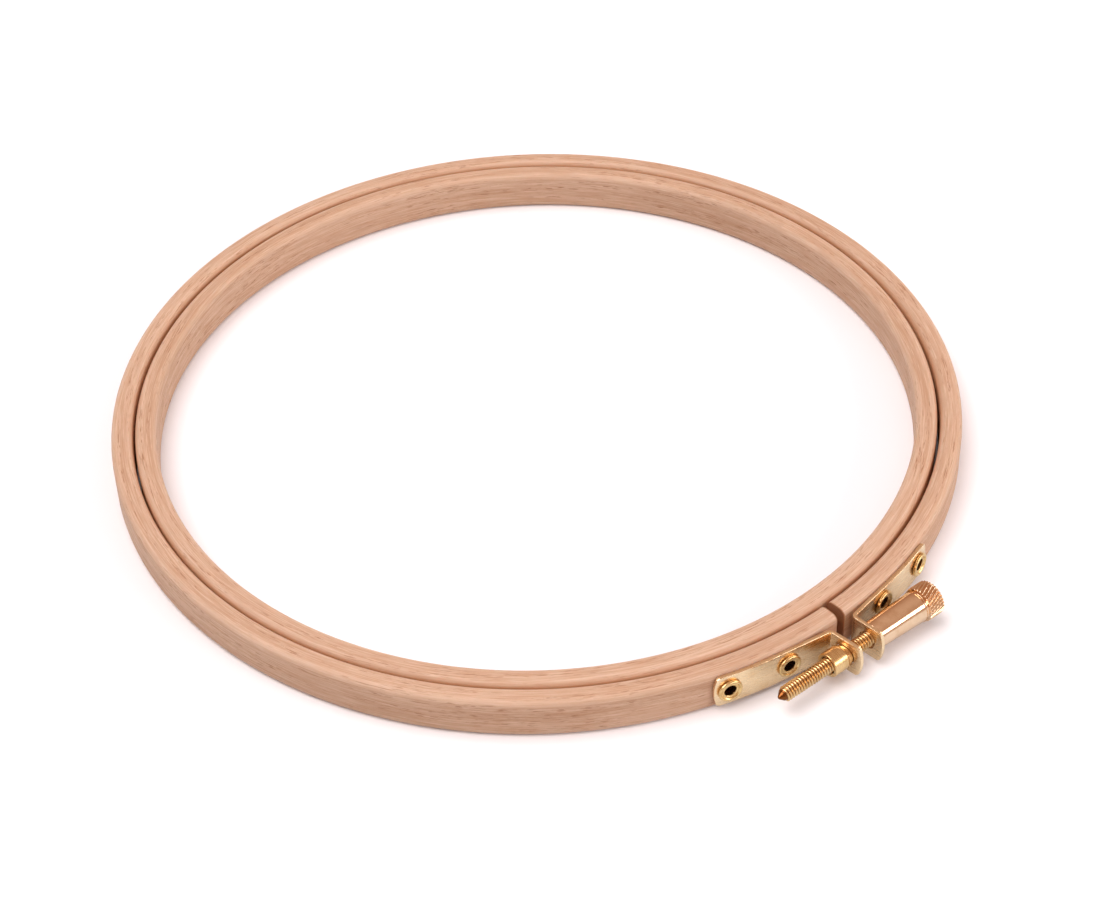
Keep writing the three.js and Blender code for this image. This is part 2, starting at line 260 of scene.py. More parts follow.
def mark_grain(mesh, middle, radius):
    """Stores how far round, how far out and how high each corner is, for the wood's grain."""
    grain = mesh.attributes.new("grain", "FLOAT_VECTOR", "CORNER")
    for face in mesh.polygons:
        spots = [mesh.vertices[index].co - middle for index in face.vertices]
        turns = [math.atan2(-spot.x, spot.y) for spot in spots]
        if max(turns) - min(turns) > math.pi:
            turns = [angle + 2 * math.pi if angle < 0 else angle for angle in turns]
        for corner, spot, angle in zip(face.loop_indices, spots, turns):
            grain.data[corner].vector = (angle * radius, math.hypot(spot.x, spot.y), spot.z)


# Sweeps a rounded bar round a circle, or round one that is split at the front by an angle.
bent_bar, size, end = new_tree("bent_bar", {
    "Radius": "Float", "Wall": "Float", "Height": "Float", "Edge": "Float", "Split": "Float",
    "Steps": "Int", "Material": "Material",
})
circle = add_node(
    bent_bar, "GeometryNodeCurvePrimitiveCircle",
    {"Resolution": size["Steps"], "Radius": size["Radius"]},
)
arc = add_node(bent_bar, "GeometryNodeCurveArc", {
    "Resolution": size["Steps"],
    "Radius": size["Radius"],
    "Start Angle": maths(
        bent_bar, "SUBTRACT", maths(bent_bar, "MULTIPLY", size["Split"], 0.5), math.pi / 2,
    ),
    "Sweep Angle": maths(bent_bar, "SUBTRACT", 2 * math.pi, size["Split"]),
})
path = add_node(bent_bar, "GeometryNodeSwitch", {
    "Switch": maths(bent_bar, "GREATER_THAN", size["Split"], 0.0),
    "False": circle.outputs[0],
    "True": arc.outputs[0],
}, input_type="GEOMETRY")
bar = add_node(
    bent_bar, "GeometryNodeCurvePrimitiveQuadrilateral",
    {"Width": size["Wall"], "Height": size["Height"]},
)
rounded = add_node(
    bent_bar, "GeometryNodeFilletCurve",
    {"Curve": bar.outputs[0], "Radius": size["Edge"], "Count": 5}, mode="POLY",
)
swept = add_node(
    bent_bar, "GeometryNodeCurveToMesh",
    {"Curve": path.outputs[0], "Profile Curve": rounded.outputs[0], "Fill Caps": True},
)
raised = add_node(bent_bar, "GeometryNodeTransform", {
    "Geometry": swept.outputs[0],
    "Translation": add_node(
        bent_bar, "ShaderNodeCombineXYZ", {2: maths(bent_bar, "MULTIPLY", size["Height"], 0.5)},
    ).outputs[0],
})
end_tree(bent_bar, raised.outputs[0], size["Material"], end)


def between(tree, value, low, high, new_low=0.0, new_high=1.0):
    """A value eased from one range into another, and held at the ends."""
    return add_node(tree, "ShaderNodeMapRange", {
        "Value": value, "From Min": low, "From Max": high, "To Min": new_low, "To Max": new_high,
    }, interpolation_type="SMOOTHSTEP").outputs[0]


def tint(tree, colour, share, towards):
    """A colour mixed by a share towards another."""
    mix = tree.nodes.new("ShaderNodeMix")
    mix.data_type = "RGBA"
    tree.links.new(share, mix.inputs[0])
    tree.links.new(colour, mix.inputs[6])
    mix.inputs[7].default_value = (*towards, 1.0)
    return mix.outputs[2]


def beech(name, length, middle, scarf=0.0, sawn=0.0):
    """Bent beech, with a painted highlight along its arrises and short dark flecks that run along the
    bar, and with painted shade and painted bounce light in the groove where it meets the other hoop. A
    bar closed to a ring of that length shows the dark hairline of its scarf, and one that is sawn
    open shows dark end grain, deepened with painted shade, this far before its full length."""
    material = new_material(name)
    tree = material.node_tree
    grain = add_node(tree, "ShaderNodeAttribute", attribute_name="grain").outputs["Vector"]
    along, out, up = add_node(tree, "ShaderNodeSeparateXYZ", {0: grain}).outputs
    from_back = maths(tree, "ABSOLUTE", along)
    if scarf:
        slant = maths(tree, "ADD", along, maths(tree, "MULTIPLY", out, scarf_slope))
        turns = maths(tree, "SUBTRACT", maths(tree, "DIVIDE", slant, length), scarf)
        along = maths(tree, "MULTIPLY", maths(tree, "FRACT", turns), length)

    def fibres(along_scale, across_scale, detail, roughness=0.5, shift=0.0):
        stretched = add_node(tree, "ShaderNodeCombineXYZ", {
            0: maths(tree, "ADD", maths(tree, "MULTIPLY", along, along_scale), shift),
            1: maths(tree, "MULTIPLY", out, across_scale),
            2: maths(tree, "MULTIPLY", up, across_scale),
        })
        return add_node(tree, "ShaderNodeTexNoise", {
            "Vector": stretched.outputs[0], "Scale": 1.0, "Detail": detail, "Roughness": roughness,
        }).outputs["Fac"]

    bands = fibres(16.0, 330.0, 3.0)
    streaks = fibres(150.0, 4600.0, 3.0, 0.6, 5.3)
    flecks = between(tree, fibres(420.0, 6200.0, 1.0, 0.5, 11.7), 0.58, 0.66)
    patches = between(tree, fibres(50.0, 900.0, 2.0, 0.5, 3.1), 0.46, 0.60)
    pores = fibres(1500.0, 9000.0, 2.0, 0.7, 23.0)
    tones = add_node(tree, "ShaderNodeValToRGB", {"Fac": bands})
    set_ramp(
        tones.color_ramp,
        (0.30, (0.54, 0.300, 0.190)), (0.50, (0.61, 0.358, 0.240)), (0.70, (0.66, 0.405, 0.282)),
    )
    colour = tones.outputs["Color"]
    colour = tint(tree, colour, between(tree, streaks, 0.48, 0.70, 0.0, 0.55), (0.50, 0.245, 0.125))
    colour = tint(tree, colour, between(tree, streaks, 0.50, 0.32, 0.0, 0.50), (0.78, 0.53, 0.385))
    fleck_share = maths(tree, "MULTIPLY", flecks, maths(tree, "MULTIPLY", patches, 0.80))
    colour = tint(tree, colour, fleck_share, (0.34, 0.125, 0.048))
    colour = tint(tree, colour, between(tree, pores, 0.50, 0.75, 0.0, 0.30), (0.44, 0.205, 0.105))
    off_middle = maths(
        tree, "ADD", maths(tree, "ABSOLUTE", maths(tree, "SUBTRACT", out, middle)),
        maths(tree, "ABSOLUTE", maths(tree, "SUBTRACT", up, hoop_height / 2)),
    )
    to_arris = (hoop_height + hoop_wall) / 2 - hoop_edge
    # painted highlight: paler wood along the rounded arrises, where the light catches them
    arris_highlight = between(tree, off_middle, to_arris - 0.05 * mm, to_arris + 0.45 * mm, 0.0, 0.22)
    colour = tint(tree, colour, arris_highlight, (0.82, 0.57, 0.42))
    from_meeting = maths(tree, "ABSOLUTE", maths(tree, "SUBTRACT", out, hoop_meeting))
    # painted shade: browner down the groove where the two hoops meet
    groove_shade = between(tree, from_meeting, 1.0 * mm, 0.40 * mm, 0.0, 0.35)
    colour = tint(tree, colour, groove_shade, (0.50, 0.22, 0.10))
    # painted bounce light: warmer orange on the walls that face each other across the slot, so that its
    # shade reads brown
    slot_bounce = between(tree, from_meeting, 0.45 * mm, 0.30 * mm, 0.0, 0.40)
    colour = tint(tree, colour, slot_bounce, (0.66, 0.33, 0.16))
    if scarf:
        from_glue = maths(tree, "PINGPONG", along, length / 2)
        glue = between(tree, from_glue, 0.03 * mm, 0.12 * mm, 0.75, 0.0)
        colour = tint(tree, colour, glue, (0.20, 0.085, 0.04))
    if sawn:
        end_at = length / 2 - sawn
        # the split's end grain, darker of itself and deepened further with painted shade
        end_grain_and_shade = between(tree, from_back, end_at - 0.35 * mm, end_at - 0.05 * mm, 0.0, 0.9)
        colour = tint(tree, colour, end_grain_and_shade, (0.30, 0.105, 0.035))
    height = maths(
        tree, "SUBTRACT", maths(tree, "MULTIPLY", streaks, 0.5),
        maths(tree, "ADD", maths(tree, "MULTIPLY", pores, 0.6), maths(tree, "MULTIPLY", flecks, 0.4)),
    )
    bump = add_node(tree, "ShaderNodeBump", {"Strength": 0.4, "Distance": 0.05 * mm, "Height": height})
    shader = add_node(tree, "ShaderNodeBsdfPrincipled", {
        "Base Color": colour,
        "Roughness": between(tree, streaks, 0.3, 0.7, 0.50, 0.66),
        "Specular IOR Level": 0.42,
        "Subsurface Weight": 0.20,
        "Subsurface Radius": (1.0, 0.45, 0.25),
        "Subsurface Scale": 0.6 * mm,
        "Normal": bump.outputs[0],
    })
    add_node(tree, "ShaderNodeOutputMaterial", {"Surface": shader.outputs[0]})
    return material


low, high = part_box("inner_hoop")
inner_middle = Vector(((low.x + high.x) / 2, (low.y + high.y) / 2, 0.0))
inner_radius = (high.x - low.x - hoop_wall) / 2
inner_hoop = run_tree("inner_ring", bent_bar, {
    "Radius": inner_radius, "Wall": hoop_wall, "Height": hoop_height, "Edge": hoop_edge,
    "Split": 0.0, "Steps": hoop_steps,
    "Material": beech("inner_beech", 2 * math.pi * inner_radius, inner_radius, scarf=scarf_place),
})
inner_hoop.data.transform(Matrix.Translation(inner_middle))
face_out(inner_hoop.data, 60)
mark_grain(inner_hoop.data, inner_middle, inner_radius)
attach(inner_hoop, "inner")
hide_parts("inner_hoop")


# Brackets: brass strip, blanked with bowed ends and pierced, then bent. Each lies on the wood
# from its free end, runs straight past its near eyelet and turns out sharply into a lug.
split_width = 1.5 * mm  # of the gap in the outer hoop, which the lugs stand back from
strip_thickness = 0.7 * mm
strip_edge = 0.09 * mm  # rounding left by the blanking and tumbling
strip_stand = 0.5 * mm  # from the wood to the middle of the sheet
strip_bend = 0.85 * mm  # radius to the middle of the sheet
near_eyelet_from_lug = 8.7 * mm
eyelet_spacing = 11.6 * mm
straight_past_eyelet = 2.0 * mm
strip_end_margin = 2.9 * mm
lug_length = 7.6 * mm
end_bow = 0.7 * mm
end_corner = 0.35 * mm
lug_setback = {"left": 2.95 * mm, "right": 0.95 * mm}
lug_lean = {"left": math.radians(-6), "right": math.radians(4)}
screw_from_strip = 4.1 * mm
screw_tilt = math.radians(-1.2)
eyelet_hole = 1.6 * mm  # radii of the holes
lug_hole = {"left": 2.05 * mm, "right": 1.7 * mm}  # for the nut's collar, and loose on the stud
hole_steps = 48
bow_steps = 12
wrap_folds = 24  # along the part that lies on the wood
bend_folds = 12

low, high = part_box("outer_hoop_right")
outer_radius = high.x
outer_middle = Vector((0.0, high.y - outer_radius, 0.0))
strip_radius = outer_radius + strip_stand
low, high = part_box("right_bracket")
strip_height = high.z - low.z
strip_middle = (low.z + high.z) / 2
straight = near_eyelet_from_lug + straight_past_eyelet
screw_radius = strip_radius + screw_from_strip


def polar(angle, length):
    return Vector((math.cos(angle), math.sin(angle))) * length


def bracket_plan(hand):
    """How one bracket's sheet lies in plan, drawn for the right side from the hoop's middle."""
    corner_x = split_width / 2 + lug_setback[hand]
    meets = math.asin(corner_x / math.hypot(strip_radius, straight))
    meets += math.atan2(straight, strip_radius)
    corner = polar(meets - math.pi / 2, strip_radius) + polar(meets + math.pi, straight)
    lean = lug_lean[hand]
    to_far = (eyelet_spacing - straight_past_eyelet) / strip_radius
    free_end = meets + to_far + strip_end_margin / strip_radius
    turn = lean + math.pi / 2 - meets
    setback = strip_bend * math.tan(turn / 2)
    lug_run = (strip_radius + lug_length + corner.y) / math.cos(lean)
    side = -1 if hand == "left" else 1
    tilt = side * screw_tilt
    off_square = lean - tilt
    middle = (corner.x * math.cos(lean) + (corner.y + screw_radius) * math.sin(lean))
    middle /= math.cos(off_square)
    crossing = Vector((0.0, -screw_radius)) + polar(tilt, middle)
    around = strip_radius * (free_end - meets)
    bent = straight + around - setback
    return {
        "side": side, "meets": meets, "corner": corner, "free_end": free_end, "turn": turn,
        "lean": lean, "around": around, "bend_from": bent, "bend_to": bent + strip_bend * turn,
        "end": bent + strip_bend * turn + lug_run - setback, "setback": setback,
        "crossing": bent + strip_bend * turn + (crossing - corner).length - setback,
        "lug_middle": middle, "off_square": off_square, "to_far": to_far,
    }


def lay_point(plan, along, out):
    """Where a point of the flat blank goes when it is bent, in plan from the hoop's middle."""
    strip_heading = plan["meets"] + math.pi
    if along < plan["around"]:
        angle = plan["free_end"] - along / strip_radius
        spot = polar(angle - math.pi / 2, strip_radius + out)
    elif along < plan["bend_from"]:
        start = polar(plan["meets"] - math.pi / 2, strip_radius)
        spot = start + polar(strip_heading, along - plan["around"])
        spot += polar(strip_heading + math.pi / 2, out)
    elif along < plan["bend_to"]:
        centre = plan["corner"] + polar(strip_heading, -plan["setback"])
        centre += polar(strip_heading + math.pi / 2, strip_bend)
        heading = strip_heading + (along - plan["bend_from"]) / strip_bend
        spot = centre + polar(heading - math.pi / 2, strip_bend - out)
    else:
        heading = plan["lean"] + 1.5 * math.pi
        spot = plan["corner"] + polar(heading, along - plan["bend_to"] + plan["setback"])
        spot += polar(heading + math.pi / 2, out)
    return Vector((plan["side"] * spot.x, spot.y))


def bowed_end(end_at, outward):
    """A strip's end: an arc between its two sides, the corners knocked off."""
    half = strip_height / 2
    bow_radius = (half ** 2 + end_bow ** 2) / (2 * end_bow)
    reach = math.asin((half - end_corner) / bow_radius)
    points = []
    for step in range(bow_steps + 1):
        angle = reach * (2 * step / bow_steps - 1) * outward
        points.append((
            end_at - outward * bow_radius * (1 - math.cos(angle)), bow_radius * math.sin(angle),
        ))
    side_from = end_at - outward * (end_bow + end_corner)
    return [(side_from, -outward * half), *points, (side_from, outward * half)]


def add_loop(blank, points):
    loop = blank.splines.new("POLY")
    loop.points.add(len(points) - 1)
    for spot, (x, y) in zip(loop.points, points):
        spot.co = (x, y, 0.0, 1.0)
    loop.use_cyclic_u = True


def bracket(hand, material):
    plan = bracket_plan(hand)
    blank = bpy.data.curves.new(hand + "_blank", "CURVE")
    blank.dimensions = "2D"
    blank.fill_mode = "BOTH"
    blank.extrude = strip_thickness / 2 - strip_edge
    blank.bevel_depth = strip_edge
    blank.bevel_resolution = 2
    blank.offset = -strip_edge
    add_loop(blank, bowed_end(plan["end"], 1) + bowed_end(0.0, -1))
    holes = (
        (strip_end_margin, eyelet_hole), (plan["around"] + straight_past_eyelet, eyelet_hole),
        (plan["crossing"], lug_hole[hand]),
    )
    for at, radius in holes:
        turns = [2 * math.pi * step / hole_steps for step in range(hole_steps)]
        add_loop(blank, [(at + radius * math.cos(a), radius * math.sin(a)) for a in turns])
    piece = plain(link_object("blank_maker", blank), hand + "_strip")
    mesh = piece.data
    mesh.materials.clear()
    mesh.materials.append(material)
    sheet = bmesh.new()
    sheet.from_mesh(mesh)
    bmesh.ops.remove_doubles(sheet, verts=sheet.verts, dist=0.001 * mm)
    folds = [plan["around"] * step / wrap_folds for step in range(1, wrap_folds + 1)]
    bend = plan["bend_to"] - plan["bend_from"]
    folds += [plan["bend_from"] + bend * step / bend_folds for step in range(bend_folds + 1)]
    for fold in folds:
        everything = sheet.verts[:] + sheet.edges[:] + sheet.faces[:]
        bmesh.ops.bisect_plane(sheet, geom=everything, plane_co=(fold, 0, 0), plane_no=(1, 0, 0))
    flat = sheet.verts.layers.float_vector.new("blank")
    for vert in sheet.verts:
        along, up, out = vert.co
        vert[flat] = (along, up, out)
        spot = lay_point(plan, along, out)
        vert.co = (spot.x, spot.y + outer_middle.y, up + strip_middle)
    sheet.to_mesh(mesh)
    sheet.free()
    face_out(mesh, 30)
    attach(piece, hand + "_side")
    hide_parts(hand + "_bracket")
    return plan


def brass(name, colour, dull, roughness, attribute, stretch, bump_depth, shade_within=None):
    """Brass worked one way: fine lines that run with the tool or the rolls, a little uneven
    tarnish, and pin-prick specks. Its lines are stretched by a factor on each axis. Turned
    brass is painted dark brown nearer its axis than a given radius, as painted shade in bores and
    thread roots."""
    material = new_material(name)
    tree = material.node_tree
    worked = add_node(tree, "ShaderNodeAttribute", attribute_name=attribute).outputs["Vector"]

    def noise(detail, scales, shift):
        lined = add_node(tree, "ShaderNodeMapping", {
            "Vector": worked, "Scale": scales, "Location": (shift, shift, 0),
        })
        return add_node(tree, "ShaderNodeTexNoise", {
            "Vector": lined.outputs[0], "Scale": 1.0, "Detail": detail,
        }).outputs["Fac"]

    lines = noise(3.0, stretch, 0.0)
    cloud = noise(3.0, (420, 420, 420), 7.7)
    specks = noise(1.0, (5200, 5200, 5200), 2.2)
    clean = add_node(tree, "ShaderNodeRGB")
    clean.outputs[0].default_value = (*colour, 1.0)
    tarnish = tint(tree, clean.outputs[0], between(tree, cloud, 0.42, 0.68, 0.0, 0.55), dull)
    surface = tint(tree, tarnish, between(tree, specks, 0.66, 0.74, 0.0, 0.45), dull)
    # painted shade: dark brown inside bores and thread roots, nearer the axis than the given radius
    if shade_within:
        x, y = add_node(tree, "ShaderNodeSeparateXYZ", {0: worked}).outputs[:2]
        squared = maths(tree, "ADD", maths(tree, "MULTIPLY", x, x), maths(tree, "MULTIPLY", y, y))
        painted_bore_shade = between(tree, maths(tree, "SQRT", squared), shade_within - 0.2 * mm, shade_within, 1.0, 0.0)
        surface = tint(tree, surface, painted_bore_shade, (0.20, 0.07, 0.02))
    bump = add_node(tree, "ShaderNodeBump", {
        "Strength": 0.3, "Distance": bump_depth,
        "Height": maths(tree, "ADD", lines, maths(tree, "MULTIPLY", cloud, 0.5)),
    })
    shader = add_node(tree, "ShaderNodeBsdfPrincipled", {
        "Base Color": surface,
        "Metallic": 1.0,
        "Roughness": between(tree, lines, 0.3, 0.7, roughness * 0.75, roughness * 1.3),
        "Normal": bump.outputs[0],
    })
    add_node(tree, "ShaderNodeOutputMaterial", {"Surface": shader.outputs[0]})
    return material


strip_brass = brass(
    "strip_brass", (0.92, 0.71, 0.47), (0.80, 0.55, 0.31), 0.26, "blank",
    (300, 9000, 300), 0.010 * mm,
)
plans = {hand: bracket(hand, strip_brass) for hand in ("left", "right")}


# Eyelets: hollow brass eyelets that hold each strip to the wood. The rolled flange lies on
# the strip, and the barrel goes through both and is flared into a countersink inside.
eyelet_bore = 1.1 * mm  # radii, as are the next two
eyelet_barrel = 1.5 * mm
eyelet_flange = 2.25 * mm
eyelet_roll = 0.31 * mm
eyelet_mouth = 0.22 * mm  # rounding where the bore opens into the flange
eyelet_flare = 0.4 * mm
eyelet_flare_depth = 0.5 * mm
eyelet_gap = 0.03 * mm  # under the flange
eyelet_sunk = 0.12 * mm  # of the flare below the hoop's inner face
turned_steps = 64

# Lays a grid round an axis to an outline, and cuts ridges into it: a thread or a knurl.
turned_part, size, end = new_tree("turned_part", {
    "Points": "Int", "Steps": "Int", "Starts": "Int", "Lead": "Float", "Depth": "Float",
    "From": "Float", "To": "Float", "Runout": "Float", "Sharpness": "Float", "Material": "Material",
}, takes_shape=True)
columns = maths(turned_part, "ADD", size["Steps"], 1)
net = add_node(
    turned_part, "GeometryNodeMeshGrid", {"Vertices X": size["Points"], "Vertices Y": columns},
)
index = add_node(turned_part, "GeometryNodeInputIndex").outputs[0]
row = maths(
    turned_part, "FLOOR",
    maths(turned_part, "DIVIDE", maths(turned_part, "ADD", index, 0.5), columns),
)
step = maths(turned_part, "SUBTRACT", index, maths(turned_part, "MULTIPLY", row, columns))
share_round = maths(turned_part, "DIVIDE", step, size["Steps"])
spot = add_node(turned_part, "GeometryNodeSampleIndex", {
    "Geometry": size["Geometry"],
    "Value": add_node(turned_part, "GeometryNodeInputPosition").outputs[0],
    "Index": row,
}, data_type="FLOAT_VECTOR")
outline = add_node(turned_part, "ShaderNodeSeparateXYZ", {0: spot.outputs[0]})
radius, along = outline.outputs["X"], outline.outputs["Z"]
ridge = maths(
    turned_part, "SUBTRACT", maths(turned_part, "MULTIPLY", share_round, size["Starts"]),
    maths(turned_part, "DIVIDE", along, size["Lead"]),
)
wave = maths(turned_part, "MULTIPLY", maths(turned_part, "PINGPONG", ridge, 0.5), 2.0)
wave = between(
    turned_part, wave, size["Sharpness"], maths(turned_part, "SUBTRACT", 1.0, size["Sharpness"]),
)
in_cut = maths(
    turned_part, "MULTIPLY",
    between(turned_part, along, size["From"], maths(turned_part, "ADD", size["From"], size["Runout"])),
    between(turned_part, along, size["To"], maths(turned_part, "SUBTRACT", size["To"], size["Runout"])),
)
cut = maths(turned_part, "MULTIPLY", maths(turned_part, "MULTIPLY", wave, in_cut), size["Depth"])
radius = maths(turned_part, "MAXIMUM", maths(turned_part, "SUBTRACT", radius, cut), 0.0)
angle = maths(turned_part, "MULTIPLY", share_round, 2 * math.pi)
wrapped = add_node(turned_part, "ShaderNodeCombineXYZ", {
    0: maths(turned_part, "MULTIPLY", radius, maths(turned_part, "COSINE", angle)),
    1: maths(turned_part, "MULTIPLY", radius, maths(turned_part, "SINE", angle)),
    2: along,
})
shaped = add_node(
    turned_part, "GeometryNodeSetPosition",
    {"Geometry": net.outputs["Mesh"], "Position": wrapped.outputs[0]},
)
closed = add_node(
    turned_part, "GeometryNodeMergeByDistance", {0: shaped.outputs[0], "Distance": 0.0005 * mm},
)
lathe = add_node(turned_part, "GeometryNodeStoreNamedAttribute", {
    "Geometry": closed.outputs[0], "Name": "lathe",
    "Value": add_node(turned_part, "GeometryNodeInputPosition").outputs[0],
}, data_type="FLOAT_VECTOR", domain="POINT")
end_tree(turned_part, lathe.outputs[0], size["Material"], end)


def turned(name, outline, material, **cut):
    """A turned part about its own Z. The outline is pairs of radius and distance along."""
    rows = bpy.data.meshes.new(name + "_outline")
    rows.from_pydata([(radius, 0.0, along) for radius, along in outline], [], [])
    values = {
        "Points": len(outline), "Steps": turned_steps, "Starts": 1, "Lead": 1.0, "Depth": 0.0,
        "From": 0.0, "To": 1.0, "Runout": 0.001, "Sharpness": 0.1, "Material": material,
    }
    return run_tree(name, turned_part, {**values, **cut}, shape=rows)


def arc_points(middle, radius, start, stop, steps):
    """Points of an arc in an outline, from one angle in degrees to another."""
    angles = [math.radians(start + (stop - start) * step / steps) for step in range(steps + 1)]
    return [(middle[0] + radius * math.cos(a), middle[1] + radius * math.sin(a)) for a in angles]


# its last size is the radius within which shade is painted into the bore
eyelet_brass = brass(
    "eyelet_brass", (0.80, 0.57, 0.28), (0.60, 0.38, 0.15), 0.27, "lathe",
    (900, 900, 9000), 0.006 * mm, 1.22 * mm,
)
seat = strip_thickness / 2 + eyelet_gap
wood_inside = outer_radius - hoop_wall - strip_radius + eyelet_sunk
dish = 0.55  # how low the flange's dish lies, as a share of its roll
outline = [
    (eyelet_barrel, wood_inside + eyelet_flare_depth),
    (eyelet_barrel, seat),
    (eyelet_flange - eyelet_roll, seat),
    *arc_points((eyelet_flange - eyelet_roll, seat + eyelet_roll), eyelet_roll, -90, 135, 10),
    (eyelet_barrel + 0.10 * mm, seat + 2 * eyelet_roll * dish),
    *arc_points((eyelet_bore + eyelet_mouth, seat + eyelet_roll * dish), eyelet_mouth, 90, 180, 5),
    (eyelet_bore, wood_inside + eyelet_flare_depth),
    (eyelet_bore + eyelet_flare, wood_inside),
    (eyelet_barrel + eyelet_flare, wood_inside),
    (eyelet_barrel, wood_inside + eyelet_flare_depth),
]
eyelet_places = []
for hand, plan in plans.items():
    for which, along in (("near", plan["around"] + straight_past_eyelet), ("far", strip_end_margin)):
        eyelet = turned(f"{hand}_{which}_eyelet", outline, eyelet_brass)
        at = lay_point(plan, along, 0.0)
        out = (lay_point(plan, along, 1.0 * mm) - at).normalized()
        facing = Vector((out.x, out.y, 0.0)).to_track_quat("Z", "Y").to_matrix().to_4x4()
        place = Matrix.Translation((at.x, at.y + outer_middle.y, strip_middle))
        eyelet_places.append(place @ facing)
        eyelet.data.transform(place @ facing)
        face_out(eyelet.data, 40)
        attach(eyelet, hand + "_side")
        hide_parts(f"{hand}_eyelet_{which}")


# Outer hoop: the same bar of beech bent round the inner hoop and left open at the front. The
#  real hoop springs open on its own, bending most at the back, and the thumbscrew draws it together;
#  here it is one fixed mesh, as it lies. Its sawn ends are rubbed down a little, and it is drilled and
#  countersunk for the eyelets.
split_edge = 0.10 * mm
drill_radius = eyelet_barrel + 0.08 * mm
drill_length = 16 * mm
sink_depth = 0.7 * mm
sink_radius = eyelet_barrel + eyelet_flare + 0.2 * mm

outer_hoop = run_tree("outer_ring", bent_bar, {
    "Radius": outer_radius - hoop_wall / 2, "Wall": hoop_wall, "Height": hoop_height,
    "Edge": hoop_edge, "Split": split_width / (outer_radius - hoop_wall / 2),
    "Steps": hoop_steps,
    "Material": beech(
        "outer_beech", 2 * math.pi * outer_radius, outer_radius - hoop_wall / 2,
        sawn=split_width / 2 * outer_radius / (outer_radius - hoop_wall / 2),
    ),
})
outer_hoop.data.transform(Matrix.Translation(outer_middle))
ends = bmesh.new()
ends.from_mesh(outer_hoop.data)
bmesh.ops.remove_doubles(ends, verts=ends.verts, dist=0.002 * mm)
rims = [edge for face in ends.faces if len(face.verts) > 4 for edge in face.edges]
bmesh.ops.bevel(ends, geom=rims, offset=split_edge, segments=3, profile=0.5, affect="EDGES")
ends.to_mesh(outer_hoop.data)
ends.free()
hole_tools = (
    ("drill_bit", drill_radius, drill_length, 0.0),
    ("countersink", sink_radius, sink_depth, outer_radius - hoop_wall - strip_radius + sink_depth / 2),
)
for name, start_radius, depth, centre in hole_tools:
    bits = bmesh.new()
    for place in eyelet_places:
        bmesh.ops.create_cone(
            bits, cap_ends=True, segments=hole_steps, radius1=start_radius,
            radius2=drill_radius, depth=depth, matrix=place @ Matrix.Translation((0, 0, centre)),
        )
    bit_mesh = bpy.data.meshes.new(name)
    bits.to_mesh(bit_mesh)
    bits.free()
    bore = outer_hoop.modifiers.new(name, "BOOLEAN")
    bore.operation = "DIFFERENCE"
    bore.solver = "EXACT"
    bore.object = link_object(name, bit_mesh)
tools = [bore.object for bore in outer_hoop.modifiers]
outer_hoop = plain(outer_hoop, "outer_ring")
for tool in tools:
    bpy.data.objects.remove(tool)
face_out(outer_hoop.data, 60)
mark_grain(outer_hoop.data, outer_middle, outer_radius)
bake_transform(outer_hoop)
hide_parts("outer_hoop_left", "outer_hoop_right")


# Barrel nut: turned from brass bar and tapped. Its collar goes through the left lug and is
# spread behind it, so that the nut is held there and the lug carries it.
def on_screw_axis(piece):
    axis = Vector((math.cos(screw_tilt), math.sin(screw_tilt), 0.0))
    facing = axis.to_track_quat("Z", "Y").to_matrix().to_4x4()
    centre = (0.0, outer_middle.y - screw_radius, strip_middle)
    piece.data.transform(Matrix.Translation(centre) @ facing)
    face_out(piece.data, 35)


thread_radius = 1.4 * mm
nut_bore = 1.6 * mm
nut_collar = 1.9 * mm
nut_radius = 2.25 * mm
nut_length = 3.6 * mm
nut_chamfer = 0.18 * mm
nut_groove = 0.5 * mm  # from the lug's face back to the shoulder
nut_washer = 0.2 * mm
washer_lip = 0.12 * mm
edge_break = 0.08 * mm
seat_gap = 0.15 * mm

# its last size is the radius within which shade is painted into the thread roots
turned_brass = brass(
    "turned_brass", (0.80, 0.55, 0.28), (0.60, 0.36, 0.15), 0.27, "lathe",
    (260, 260, 14000), 0.008 * mm, 1.22 * mm,
)
plan = plans["left"]
lean = abs(plan["off_square"])
lug_face = plan["lug_middle"] + strip_thickness / 2 / math.cos(plan["off_square"])
nut_end = -lug_face - seat_gap - nut_radius * math.tan(lean)
nut_start = nut_end - nut_length
collar_end = -plan["lug_middle"] + strip_thickness
outline = [
    (nut_bore, nut_start + nut_chamfer),
    (nut_bore + nut_chamfer * 0.6, nut_start + 0.05 * mm),
    (nut_bore + nut_chamfer * 0.6, nut_start),
    (nut_radius - nut_chamfer, nut_start),
    *arc_points((nut_radius - nut_chamfer, nut_start + nut_chamfer), nut_chamfer, -80, 0, 5),
    (nut_radius, nut_end - nut_groove - 0.12 * mm),
    (nut_radius - edge_break, nut_end - nut_groove - 0.02 * mm),
    (nut_collar, nut_end - nut_groove),
    (nut_collar, nut_end - nut_washer - 0.02 * mm),
    (nut_collar + washer_lip, nut_end - nut_washer),
    (nut_collar + washer_lip, nut_end),
    (nut_collar, nut_end),
    (nut_collar, collar_end - edge_break),
    (nut_collar - edge_break, collar_end),
    (nut_bore + 0.05 * mm, collar_end),
    (nut_bore, collar_end - 0.10 * mm),
    (nut_bore, nut_start + nut_chamfer),
]
nut = turned("barrel_nut_turned", outline, turned_brass)
on_screw_axis(nut)
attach(nut, "left_side")
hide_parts("barrel_nut")


# Stud: brass rod with a rolled 0.6 mm thread and a turned point, fixed in the thumb head.
thread_pitch = 0.6 * mm
thread_depth = 0.36 * mm
rows_in_pitch = 10
stud_reach = 19.1 * mm
stud_in_head = 6.0 * mm
tip_length = 1.5 * mm
tip_radius = 0.42 * mm
head_start_radius = 2.55 * mm

